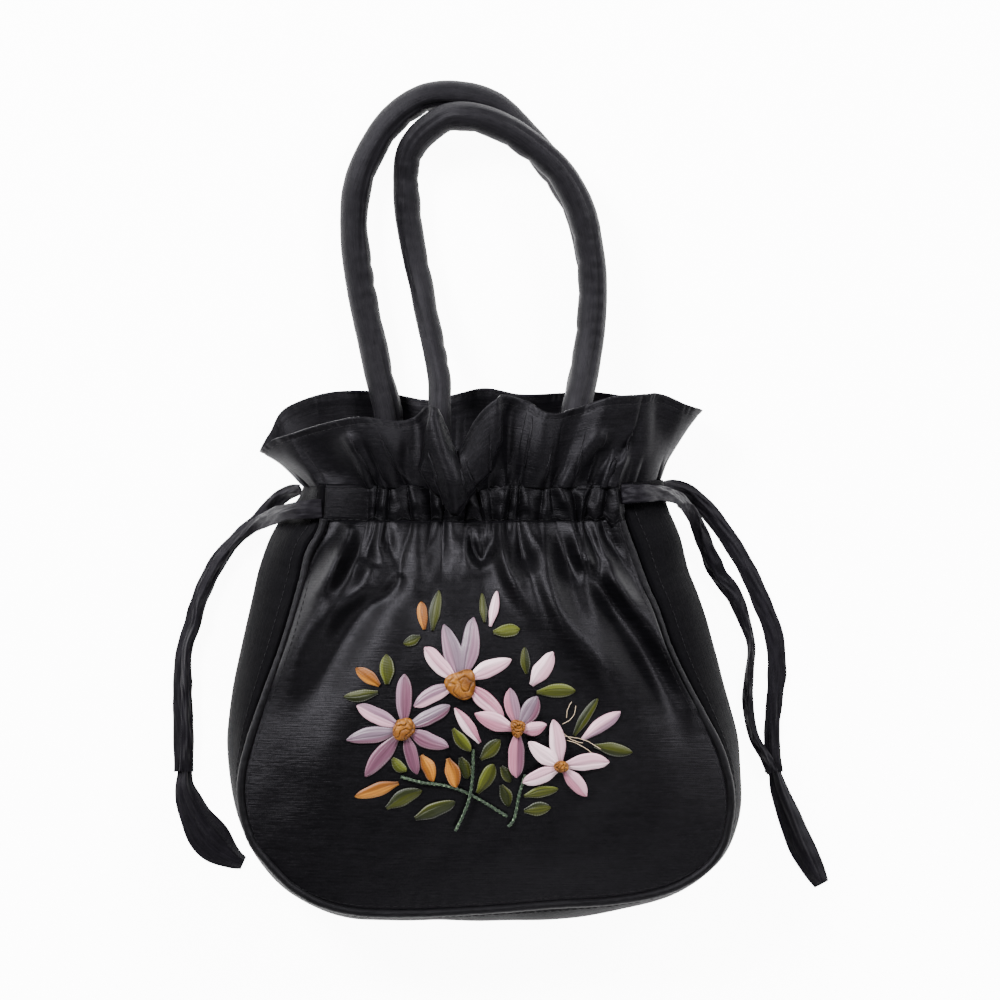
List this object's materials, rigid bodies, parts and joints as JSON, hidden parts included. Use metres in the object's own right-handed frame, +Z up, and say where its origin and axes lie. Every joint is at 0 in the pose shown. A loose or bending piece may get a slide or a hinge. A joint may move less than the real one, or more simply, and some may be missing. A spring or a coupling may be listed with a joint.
{
  "type": "reticule",
  "caption": "Satin drawstring handbag with a gathered collar, padded loop handles, flat ribbon ties and a ribbon-embroidered bouquet, lying on its back.",
  "frame": {"origin": "middle of the bag's own box, without the loose ribbon ends, on the surface that the bag lies on", "axes": "+X across the bag to the right of its embroidered front, +Y from the bag's bottom towards the handles, +Z up out of the embroidered front"},
  "size_m": [0.2809, 0.3578, 0.0677],
  "materials": {
    "black_satin": "satin weave, soft sheen",
    "ribbon_pink": "satin ribbon",
    "ribbon_mauve": "satin ribbon",
    "ribbon_orange": "satin ribbon",
    "ribbon_green": "satin ribbon",
    "thread_green": "twisted thread"
  },
  "bodies": {
    "root": {"front_panel": "black_satin", "back_panel": "black_satin", "gusset": "black_satin", "front_piping": "black_satin", "back_piping": "black_satin", "front_casing": "black_satin", "back_casing": "black_satin", "ruffle": "black_satin", "back_handle": "black_satin", "front_handle": "black_satin", "left_tie_front": "black_satin", "left_tie_back": "black_satin", "right_tie_front": "black_satin", "right_tie_back": "black_satin", "left_drop": "black_satin", "right_drop": "black_satin", "flower_top_petals": "ribbon_pink", "flower_right_petals": "ribbon_pink", "bud_single": "ribbon_pink", "bud_top_right": "ribbon_pink", "bud_right": "ribbon_pink", "bud_far_right": "ribbon_pink", "flower_left_petals": "ribbon_mauve", "flower_middle_petals": "ribbon_mauve", "flower_top_centre": "ribbon_orange", "flower_left_centre": "ribbon_orange", "flower_middle_centre": "ribbon_orange", "flower_right_centre": "ribbon_orange", "bud_top_left": "ribbon_orange", "bud_left": "ribbon_orange", "bud_orange_1": "ribbon_orange", "bud_orange_2": "ribbon_orange", "bud_orange_3": "ribbon_orange", "leaf_top_right_1": "ribbon_green", "leaf_top_right_2": "ribbon_green", "leaf_top_left_1": "ribbon_green", "leaf_top_left_2": "ribbon_green", "leaf_left_1": "ribbon_green", "leaf_left_2": "ribbon_green", "leaf_right_1": "ribbon_green", "leaf_right_2": "ribbon_green", "leaf_far_right_1": "ribbon_green", "leaf_far_right_2": "ribbon_green", "leaf_low_1": "ribbon_green", "leaf_low_2": "ribbon_green", "leaf_low_3": "ribbon_green", "leaf_middle_1": "ribbon_green", "leaf_middle_2": "ribbon_green", "leaf_middle_3": "ribbon_green", "leaf_middle_4": "ribbon_green", "leaf_middle_5": "ribbon_green", "leaf_middle_6": "ribbon_green", "leaf_right_low_1": "ribbon_green", "leaf_right_low_2": "ribbon_green", "stem_left": "thread_green", "stem_middle": "thread_green", "stem_right": "thread_green"}
  },
  "joints": []
}
